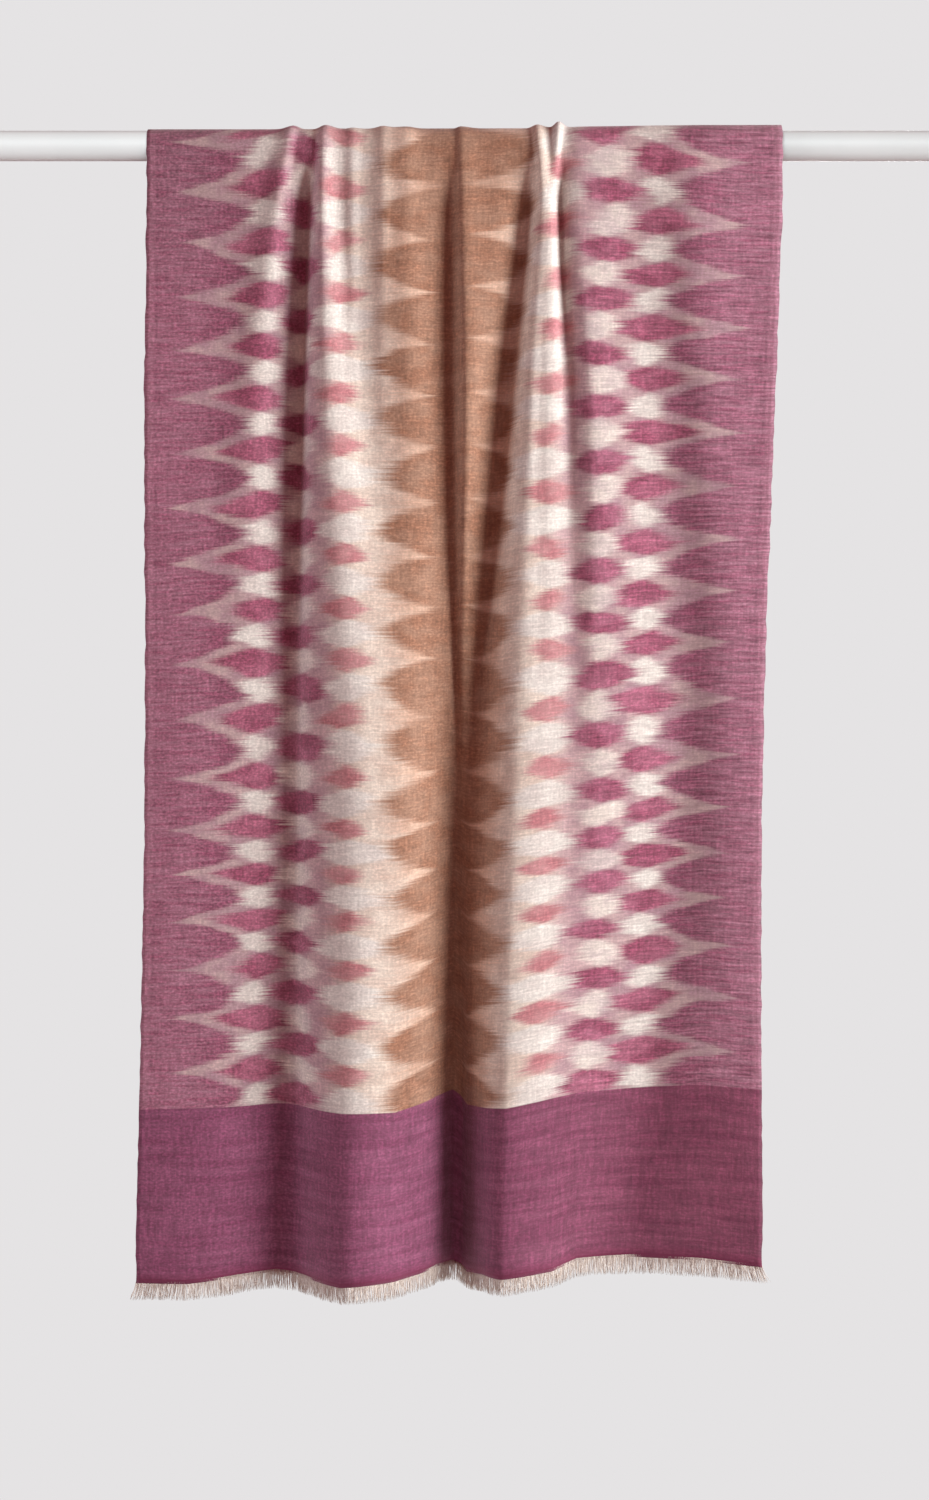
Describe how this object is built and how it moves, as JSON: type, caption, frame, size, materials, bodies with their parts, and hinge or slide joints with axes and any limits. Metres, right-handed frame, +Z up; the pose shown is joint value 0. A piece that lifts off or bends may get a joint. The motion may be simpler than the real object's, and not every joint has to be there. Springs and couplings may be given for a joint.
{
  "type": "stole hung over a rod",
  "caption": "Woven stole with a feathered diamond weft pattern, plain end bands and short fringes, hung in soft folds over a round rod.",
  "frame": {"origin": "middle of the rod's axis", "axes": "+X along the rod to the viewer's right, +Y away from the viewer, from the long fall to the short one, +Z up"},
  "size_m": [1, 0.1229, 1.1797],
  "materials": {
    "rod_paint": "white satin paint over a straight wooden dowel",
    "field_cloth": "soft wool and silk weave, cream warp, weft dyed in purple, rose, cream and tan",
    "border_cloth": "the same weave with a plain purple weft",
    "fringe_yarn": "loose undyed cream warp ends"
  },
  "bodies": {
    "root": {"rod": "rod_paint", "field_front": "field_cloth", "field_over_rod": "field_cloth", "field_back": "field_cloth", "border_front": "border_cloth", "border_back": "border_cloth", "fringe_front": "fringe_yarn", "fringe_back": "fringe_yarn"}
  },
  "joints": []
}
